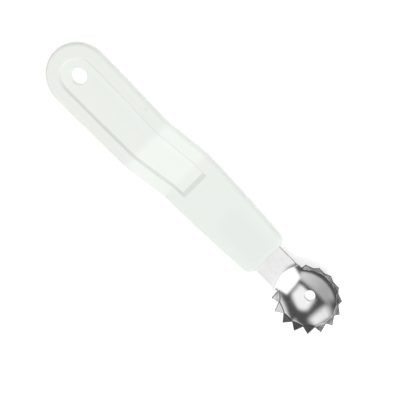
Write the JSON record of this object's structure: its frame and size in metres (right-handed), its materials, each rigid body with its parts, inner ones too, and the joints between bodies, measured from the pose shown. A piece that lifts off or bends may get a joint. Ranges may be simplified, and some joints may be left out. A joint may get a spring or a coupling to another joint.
{
  "type": "tomato corer",
  "caption": "Hand tool with a shallow dished steel scoop edged with pointed teeth, on a flat strip held in a cranked plastic handle with a hang hole.",
  "frame": {"origin": "under the middle of the tool's length and width, level with the lowest point of the scoop", "axes": "+X from the hanging end of the handle to the scoop, +Z towards the hollow side of the scoop, +Y across the tool"},
  "size_m": [0.1516, 0.0282, 0.0125],
  "materials": {
    "handle_plastic": "milky, slightly green-white moulded polypropylene, satin gloss",
    "stainless_steel": "bright polished stainless steel"
  },
  "bodies": {
    "root": {"handle": "handle_plastic", "scoop_blade": "stainless_steel"}
  },
  "joints": []
}
